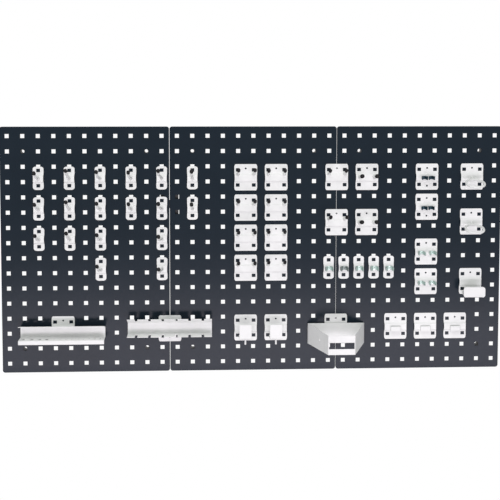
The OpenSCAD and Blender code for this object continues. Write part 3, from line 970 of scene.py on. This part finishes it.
radii = [LARGE_R] * 4 + [SMALL_R] * 9
drill(shelf, [((x, -29, shelf_top - 10), r, 80, "z") for x, r in zip(shelf_x, radii)])
holder = join([copy_plate(wide_plate), apply_all(shelf)], "shelf_holder")
furnish(["screwdriver_shelf"], holder, WIDE_DROP)
print("shelf holes at", [round(x) for x in shelf_x])

# %% Wrench rack
rack_top, rack_h = -10.6, 30
rise = (CHANNEL_D - 5.25) * tan(radians(23))
rack_floor = rack_top - rack_h + CHANNEL_T / 2
rack_line = [
    (CHANNEL_LIP, rack_top + rise - 0.9),
    (CHANNEL_BACK, rack_top - 0.9),
    (CHANNEL_BACK, rack_floor),
    (-CHANNEL_D, rack_floor),
]
rack = bent_strip("rack", CHANNEL_W, rack_line, CHANNEL_T, bend=1.6)
NOTCH_PITCH, NOTCH_W, NOTCH_LEN, NOTCH_END = 33, 6.5, 26.5, -21.25
BAR_LEN, BAR_Z = 90, -20
notch_x = [(k - 2.5) * NOTCH_PITCH for k in range(6)]
for x in notch_x:
    start_clean()
    bpy.ops.mesh.primitive_cube_add(
        size=1, location=(x * MM, -34 * MM, BAR_Z * MM),
        scale=(NOTCH_W * MM, NOTCH_LEN * MM, BAR_LEN * MM),
    )
    subtract(rack, bpy.context.object)
drill(rack, [((x, NOTCH_END, BAR_Z), SMALL_R, BAR_LEN, "z") for x in notch_x])
holder = join([copy_plate(eyed_plate), apply_all(rack)], "rack_holder")
furnish(["wrench_rack"], holder, WIDE_DROP)
print("rack placed")

# %% [markdown]
# The power-tool box starts as a plain block. Its top and foot are taken off, its
# front is drawn in, and a window is cut in the front before the walls get their
# thickness.

# %% Power-tool box
box_top, box_h = -17.6, 51
BOX_W, BOX_FRONT_W, BOX_REAR, BOX_FRONT, BOX_T = 144, 66, -5.25, -117, 1.5
WINDOW_HALF, WINDOW_LOW, WINDOW_HIGH = 31, 14, 34
foot_z, middle_z = box_top - box_h, box_top - box_h / 2
start_clean()
bpy.ops.mesh.primitive_cube_add(
    size=1, location=(0, (BOX_REAR + BOX_FRONT) / 2 * MM, middle_z * MM),
    scale=(BOX_W * MM, (BOX_REAR - BOX_FRONT) * MM, box_h * MM),
)
crate = freeze(bpy.context.object)
bpy.ops.object.mode_set(mode="EDIT")
pick("FACE", lambda c: abs(c.z - middle_z) > 20)
bpy.ops.mesh.delete(type="ONLY_FACE")
pick("FACE", lambda c: c.y < BOX_FRONT + 1)
bpy.ops.transform.resize(value=(BOX_FRONT_W / BOX_W, 1, 1))
pick("EDGE", lambda c: c.y < BOX_FRONT + 1 and c.z > box_top - 1)
move(z=-4)
for x in (-WINDOW_HALF, WINDOW_HALF):
    cut("x", x)
cut("z", foot_z + WINDOW_LOW)
cut("z", foot_z + WINDOW_HIGH)
window_z = foot_z + (WINDOW_LOW + WINDOW_HIGH) / 2
pick("FACE", lambda c: c.y < BOX_FRONT + 1 and abs(c.x) < 20 and abs(c.z - window_z) < 2)
bpy.ops.mesh.delete(type="FACE")


def on_upright_corner(c):
    """True on the four upright edges of the box."""
    at_front = c.y < BOX_FRONT + 1 and abs(abs(c.x) - BOX_FRONT_W / 2) < 1
    return at_front or (c.y > BOX_REAR - 0.75 and abs(c.x) > BOX_W / 2 - 1)


pick("EDGE", on_upright_corner)
bpy.ops.mesh.bevel(offset=1.4 * MM, segments=4, affect="EDGES")
face_outwards()
thicken(crate, BOX_T, 0.3)
drill(crate, [((-55, -70, foot_z + 25.5), 2.5, 30, "x")])
holder = join([copy_plate(wide_plate), apply_all(crate)], "box_holder")
furnish(["tool_box"], holder, -foot_z)
print("box placed")

# %% Tidy the patterns away
for pattern in (narrow_plate, wide_plate, eyed_plate):
    bpy.data.objects.remove(pattern)

# %% [markdown]
# The floor lies well below the wall and in front of it. It is pale and takes the
# soft shadow, and the world behind stays white.

# %% Floor
start_clean()
bpy.ops.mesh.primitive_plane_add(size=1, location=(0, -1.2, -1.6))
floor = bpy.context.object
floor.name = "floor"
floor.scale = (7, 4, 1)
freeze(floor)
floor_paint = finish(
    "floor_paint", (0.83, 0.83, 0.83), (0.86, 0.86, 0.86), (0.7, 0.8), gloss=0.2
)
floor.data.materials.append(floor_paint)
print("floor size", floor.dimensions[:])
